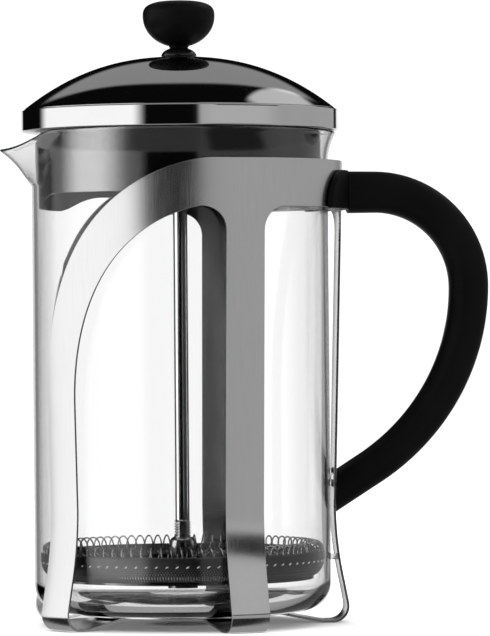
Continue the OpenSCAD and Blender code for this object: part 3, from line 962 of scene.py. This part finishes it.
def build_screen():
    """Mesh bowl: flat under the plate, curled up round its edge."""
    low, top = MESH_LO[2] + 0.12, MESH_HI[2] - 0.02
    r = MESH_HI[0] - 0.15
    rise, inner = 6.5, 43.2
    turns = [math.radians(90 * i / 20) for i in range(21)]
    side = [(inner + (r - inner) * math.sin(t), low + rise * (1 - math.cos(t))) for t in turns]
    line = [(x, low) for x in (2.6, 12, 24, 36)] + side
    line += [(r, top - 0.6), (r - 0.12, top - 0.15), (r - 0.4, top)]
    obj = piece("filter_mesh", *lathe(line, 220, closed=False), MESH_STEEL, "plunger",
                ["mesh_screen"], "mesh_steel", sharp=0)
    thicken(obj, 0.2, 0.03)


def dress(node, mat):
    """A CAD node that keeps its shape and gets its material."""
    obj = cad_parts[node]
    obj.data.materials.clear()
    obj.data.materials.append(mat)


# ---------------------------------------------------------------- studio

AZIMUTH = -4.0    # degrees that the camera stands to the spout side of -Y

# soft lamps: name, place, width and power in metres and watts
LAMPS = [
    ("key_left", (-0.9, -0.7, 0.9), 0.8, 9.0),
    ("top", (0.1, 0.3, 1.5), 1.2, 16.0),
    ("fill_right", (1.0, -0.6, 0.5), 0.9, 4.0),
]


def build_studio():
    """Pale floor and soft lamps round the object."""
    collection = bpy.context.scene.collection
    pale = Look("floor_pale", Base_Color=(0.96, 0.96, 0.96, 1), Roughness=0.9, Specular_IOR_Level=0.1)
    mesh = bpy.data.meshes.new("floor")
    bm = bmesh.new()
    bmesh.ops.create_circle(bm, cap_ends=True, segments=96, radius=45.0)
    bm.to_mesh(mesh)
    bm.free()
    mesh.materials.append(pale.material)
    floor = bpy.data.objects.new("floor", mesh)
    collection.objects.link(floor)
    floor.visible_glossy = False
    floor.visible_transmission = False
    aim = Vector((0, 0, 0.1))
    for name, place, size, power in LAMPS:
        light = bpy.data.lights.new(name, "AREA")
        light.size = size
        light.energy = power
        obj = bpy.data.objects.new(name, light)
        obj.location = place
        obj.rotation_euler = (aim - Vector(place)).to_track_quat("-Z", "Y").to_euler()
        obj.visible_glossy = False
        obj.visible_camera = False
        obj.visible_transmission = False
        collection.objects.link(obj)


# Panels that steel and glass reflect. Each is a range of bearings from the camera and of heights
# in degrees, or of the direction's parts across and away from the camera, with soft edges and a
# brightness. The last number is its brightness for things that stand behind the glass.
PANELS = [
    # large cards on both sides of the camera, with the ones that the sleeve and plunger see
    ({"bearing": (-116, -29, 6), "height": (-14, 34, 4)}, 1.15, 0.0),
    ({"bearing": (-100, -54, 16), "height": (-120, 34, 8)}, 0.0, 1.65),
    ({"bearing": (74, 108, 10), "height": (-40, 40, 8)}, 0.0, 0.04),
    ({"bearing": (14, 150, 2.5), "height": (-14, 40, 4)}, 0.38, 0.03),
    ({"bearing": (18, 70, 10), "height": (1, 30, 0.8)}, 0.10, 0.0),
    # the pale room straight behind the object, which surfaces seen edge-on mirror
    ({"away": (0.93, 2, 0.02), "height": (-40, 5, 1)}, 1.0, 0.6),
    # a round card and a strip overhead that the dome mirrors, and light from above for the filter
    ({"ceiling": (-1, 1, 0.05), "height": (24, 90, 3), "away": (0, 2, 0.05)}, 0.26, 0.1),
    ({"across": (0.28, 0.7, 0.012), "height": (30, 58, 3), "away": (0, 2, 0.05)}, 0.55, 0.1),
    ({"height": (58, 91, 8)}, 0.0, 1.0),
    # soft cards above the camera and at the sides, then low ones, which raised views mirror
    ({"across": (0.42, 1.1, 0.04), "height": (36, 91, 5)}, 0.26, 0.05),
    ({"across": (-1.1, -0.42, 0.04), "height": (36, 91, 5)}, 0.26, 0.05),
    ({"across": (-0.42, 0.42, 0.04), "height": (36, 91, 5), "away": (-1.1, -0.25, 0.06)}, 0.26, 0.05),
    ({"bearing": (-78, 24, 5), "height": (-91, -13, 3)}, 0.34, 0.1),
    ({"bearing": (72, 181, 5), "height": (-91, -13, 3)}, 0.34, 0.1),
    ({"bearing": (-181, -122, 5), "height": (-91, -13, 3)}, 0.34, 0.1),
]
# a black card in front of the lit panels
DARK_CARD = {"bearing": (26, 76, 3), "height": (3.7, 9.6, 0.3)}
# the round card overhead: its middle's upward part, and half its width and height
CEILING_UP = 0.55
CEILING_HALF = (0.30, 0.31)
# brightness between the panels, of light inside the glass wall, and of the room itself
UNLIT = 0.003
GLASS_EDGE = 0.36
ROOM = 1.12


def build_world(scene):
    """A pale room; polished steel sees large light and dark panels in it instead."""
    world = bpy.data.worlds.new("studio")
    scene.world = world
    world.cycles.sampling_method = "NONE"
    world.use_nodes = True
    tree = world.node_tree
    tree.nodes.clear()

    def add(kind, links=(), **settings):
        """A node; each of its linked sockets gets a number or another node's socket."""
        node = tree.nodes.new("ShaderNode" + kind)
        for key, value in settings.items():
            setattr(node, key, value)
        for socket, source in links:
            if isinstance(source, (int, float)):
                node.inputs[socket].default_value = source
            else:
                tree.links.new(source, node.inputs[socket])
        return node

    def math_node(operation, *sources, clamp=False):
        return add("Math", enumerate(sources), operation=operation, use_clamp=clamp).outputs[0]

    def step(value, at, soft):
        """0 below a value and 1 above it, with a soft edge."""
        links = [(0, value), (1, float(at - soft)), (2, float(at + soft))]
        return add("MapRange", links, interpolation_type="SMOOTHSTEP").outputs[0]

    coords = add("TexCoord")
    facing = add("VectorRotate", [(0, coords.outputs["Generated"])], rotation_type="Z_AXIS")
    facing.inputs["Angle"].default_value = math.radians(-AZIMUTH)
    axes = add("SeparateXYZ", [(0, facing.outputs[0])])
    bearing = math_node("ARCTAN2", axes.outputs[0], math_node("MULTIPLY", axes.outputs[1], -1.0))
    parts = {
        "bearing": math_node("MULTIPLY", bearing, 180 / math.pi),
        "height": math_node("MULTIPLY", math_node("ARCSINE", axes.outputs[2]), 180 / math.pi),
        "across": axes.outputs[0],
        "away": axes.outputs[1],
    }
    wide = math_node("DIVIDE", axes.outputs[0], CEILING_HALF[0])
    tall = math_node("DIVIDE", math_node("SUBTRACT", axes.outputs[2], CEILING_UP), CEILING_HALF[1])
    squares = math_node("ADD", math_node("MULTIPLY", wide, wide), math_node("MULTIPLY", tall, tall))
    parts["ceiling"] = math_node("SQRT", squares)
    path = add("LightPath")
    # a mirrored ray that went in and out through the wall has passed four surfaces
    behind_glass = step(path.outputs["Transmission Depth"], 3.5, 0.1)

    def within(ranges, value):
        """The value where a direction lies within all ranges, and 0 elsewhere."""
        for part, (low, high, soft) in ranges.items():
            value = math_node("MULTIPLY", value, step(parts[part], low, soft))
            value = math_node("MULTIPLY", value, math_node("SUBTRACT", 1.0, step(parts[part], high, soft)))
        return value

    total = UNLIT
    for ranges, bright, bright_inside in PANELS:
        level = add("MapRange", [(0, behind_glass), (3, bright), (4, bright_inside)]).outputs[0]
        total = math_node("ADD", within(ranges, level), total)
    covered = within(DARK_CARD, 1.0)
    total = math_node("MULTIPLY", total, math_node("SUBTRACT", 1.0, covered))

    # light that only bounced inside the glass wall and went on sees an even grey
    through_glass = step(path.outputs["Transmission Depth"], 0.5, 0.1)
    in_wall = math_node("SUBTRACT", through_glass, behind_glass, clamp=True)
    in_wall = math_node("MULTIPLY", in_wall, step(parts["away"], 0.1, 0.2))
    seen = add("MapRange", [(0, in_wall), (3, total), (4, GLASS_EDGE)]).outputs[0]
    panels = add("Background", [("Strength", seen)])
    pale = add("Background", [("Strength", ROOM)])
    for background in (panels, pale):
        background.inputs["Color"].default_value = (1, 1, 1, 1)
    reflected = step(path.outputs["Glossy Depth"], 0.5, 0.1)
    mixed = add("MixShader", [(0, reflected), (1, pale.outputs[0]), (2, panels.outputs[0])])
    out = add("OutputWorld")
    tree.links.new(mixed.outputs[0], out.inputs[0])


def build_camera():
    """Level camera at the height of the object's middle, a little to the spout side."""
    distance, height = 1.5, 0.104
    aside, turn = math.radians(0.827), math.radians(-0.45)
    a = math.radians(AZIMUTH)
    cam = bpy.data.cameras.new("camera")
    cam.lens = 251.3
    cam.sensor_width = 36.0
    cam.clip_start, cam.clip_end = 0.05, 80.0
    obj = bpy.data.objects.new("camera", cam)
    obj.location = (distance * math.sin(a), -distance * math.cos(a), height)
    heading = Matrix.Rotation(a - aside, 4, "Z")
    level = Matrix.Rotation(math.radians(90), 4, "X")
    roll = Matrix.Rotation(turn, 4, "Z")
    obj.rotation_euler = (heading @ level @ roll).to_euler()
    cam.shift_y = -0.0047
    bpy.context.scene.collection.objects.link(obj)
    bpy.context.scene.camera = obj


build_camera()
build_studio()
build_world(bpy.context.scene)
build_carrier()
build_grip()
build_clip()
build_screws()
build_beaker()
build_dome()
build_sleeve()
build_bush()
build_knob()
build_rod()
build_hub()
build_spring()
build_spring_plate()
build_screen()
dress("base_plate", CARRIER_STEEL)
dress("leg_bumpers", BUMPER_CLEAR)
dress("handle_inserts", BRASS)
dress("bush_retainer", GLOSS_BLACK)
dress("knob_insert", BRASS)
dress("cross_plate", FILTER_STEEL)
dress("plate_boss", FILTER_STEEL)

# light has to pass many glass walls and mesh openings
scene = bpy.context.scene
scene.view_settings.view_transform = "Standard"
scene.cycles.transparent_max_bounces = 24
scene.cycles.transmission_bounces = 16
scene.cycles.max_bounces = 20
